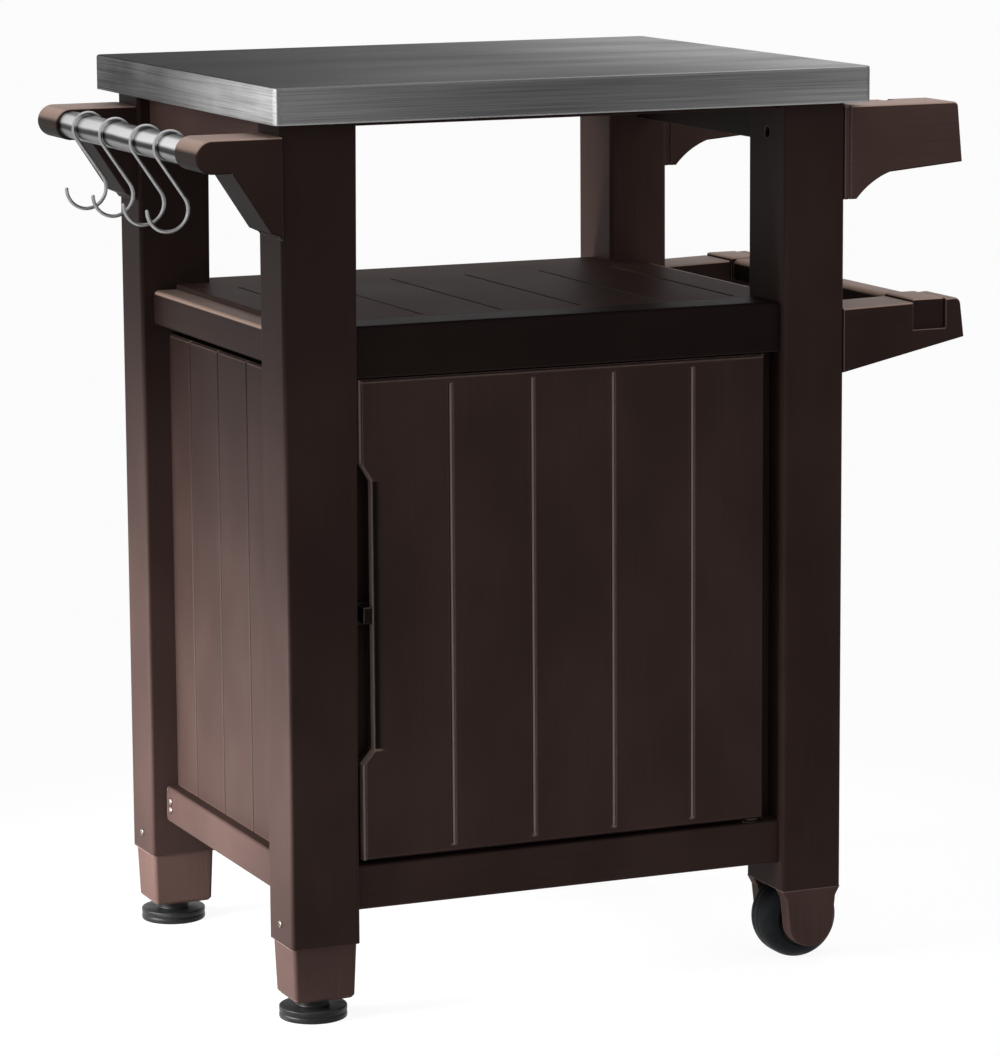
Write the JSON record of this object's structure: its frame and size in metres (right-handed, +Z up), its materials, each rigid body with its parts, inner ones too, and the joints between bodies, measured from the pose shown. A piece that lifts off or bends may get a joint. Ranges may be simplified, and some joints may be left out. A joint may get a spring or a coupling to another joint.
{
  "type": "grill cart with storage",
  "caption": "Free-standing outdoor prep cart: steel worktop, open shelf, cabinet with a hinged door, towel rail with hooks, side brackets, wheels at one side.",
  "frame": {"origin": "on the floor, under the middle of the whole cart's bounding box", "axes": "+Z up, +X along the front from the towel rail to the side brackets, +Y from the door to the back"},
  "size_m": [0.8168, 0.529, 0.9],
  "materials": {
    "resin": "satin moulded, faint grain",
    "brushed_steel": "brushed",
    "polished_steel": "polished",
    "zinc_steel": "plated, satin",
    "core_board": "plain",
    "black_plastic": "satin",
    "tyre": "smooth tread"
  },
  "bodies": {
    "frame": {"post_front_left": "resin", "post_rear_left": "resin", "post_front_right": "resin", "post_rear_right": "resin", "top_rail_left": "resin", "top_rail_right": "resin", "top_rail_front": "resin", "top_rail_rear": "resin", "deck_rail_front": "resin", "deck_rail_rear": "resin", "deck_rail_left": "resin", "deck_rail_right": "resin", "deck_board": "resin", "bottom_rail_front": "resin", "bottom_rail_rear": "resin", "bottom_rail_left": "resin", "bottom_rail_right": "resin", "side_panel_left": "resin", "side_panel_right": "resin", "back_panel": "resin", "floor_panel": "resin", "inner_shelf": "resin", "shelf_battens": "resin", "front_stile_left": "resin", "front_stile_right": "resin", "towel_arm_front": "resin", "towel_arm_rear": "resin", "roll_arm_front": "resin", "roll_arm_rear": "resin", "bag_arm_front": "resin", "bag_arm_rear": "resin", "foot_block_front": "resin", "foot_block_rear": "resin", "wheel_fork_front": "resin", "wheel_fork_rear": "resin", "worktop_skin": "brushed_steel", "worktop_core": "core_board", "towel_rail": "polished_steel", "catch_keeper": "zinc_steel", "wheel_axles": "zinc_steel", "screws": "zinc_steel"},
    "door": {"door_panel": "resin", "door_liner": "resin", "door_pins": "zinc_steel", "door_catch": "resin"},
    "hook_1": {"hook_1": "polished_steel"},
    "hook_2": {"hook_2": "polished_steel"},
    "hook_3": {"hook_3": "polished_steel"},
    "hook_4": {"hook_4": "polished_steel"},
    "roll_bar": {"roll_bar": "resin"},
    "bag_bar": {"bag_bar": "resin"},
    "foot_front": {"foot_disc_front": "black_plastic", "foot_stud_front": "zinc_steel"},
    "wheel_front": {"wheel_tyre_front": "tyre", "wheel_hub_front": "black_plastic"},
    "foot_rear": {"foot_disc_rear": "black_plastic", "foot_stud_rear": "zinc_steel"},
    "wheel_rear": {"wheel_tyre_rear": "tyre", "wheel_hub_rear": "black_plastic"}
  },
  "joints": [
    {"name": "door_swing", "type": "hinge", "parent": "frame", "child": "door", "pos_m": [0.1809, -0.2185, 0.385], "axis": [0, 0, 1], "range_deg": [0, 110]},
    {"name": "bag_bar_lift", "type": "slide", "parent": "frame", "child": "bag_bar", "axis": [0, 0, 1], "range_m": [0, 0.04]},
    {"name": "roll_bar_turn", "type": "hinge", "parent": "frame", "child": "roll_bar", "pos_m": [0.3469, 0, 0.834], "axis": [0, 1, 0], "continuous": true},
    {"name": "hook_1_swing", "type": "hinge", "parent": "frame", "child": "hook_1", "pos_m": [-0.3826, -0.1225, 0.8365], "axis": [0, 1, 0], "range_deg": [-70, 100]},
    {"name": "hook_2_swing", "type": "hinge", "parent": "frame", "child": "hook_2", "pos_m": [-0.3826, -0.0525, 0.8365], "axis": [0, 1, 0], "range_deg": [-70, 100]},
    {"name": "hook_3_swing", "type": "hinge", "parent": "frame", "child": "hook_3", "pos_m": [-0.3826, 0.0405, 0.8365], "axis": [0, 1, 0], "range_deg": [-70, 100]},
    {"name": "hook_4_swing", "type": "hinge", "parent": "frame", "child": "hook_4", "pos_m": [-0.3826, 0.1245, 0.8365], "axis": [0, 1, 0], "range_deg": [-70, 100]},
    {"name": "foot_front_turn", "type": "hinge", "parent": "frame", "child": "foot_front", "pos_m": [-0.28185, -0.2055, 0.012], "axis": [0, 0, 1], "continuous": true},
    {"name": "foot_rear_turn", "type": "hinge", "parent": "frame", "child": "foot_rear", "pos_m": [-0.28185, 0.2055, 0.012], "axis": [0, 0, 1], "continuous": true},
    {"name": "wheel_front_roll", "type": "hinge", "parent": "frame", "child": "wheel_front", "pos_m": [0.2414, -0.196, 0.042], "axis": [0, 1, 0], "continuous": true},
    {"name": "wheel_rear_roll", "type": "hinge", "parent": "frame", "child": "wheel_rear", "pos_m": [0.2414, 0.213, 0.042], "axis": [0, 1, 0], "continuous": true}
  ]
}
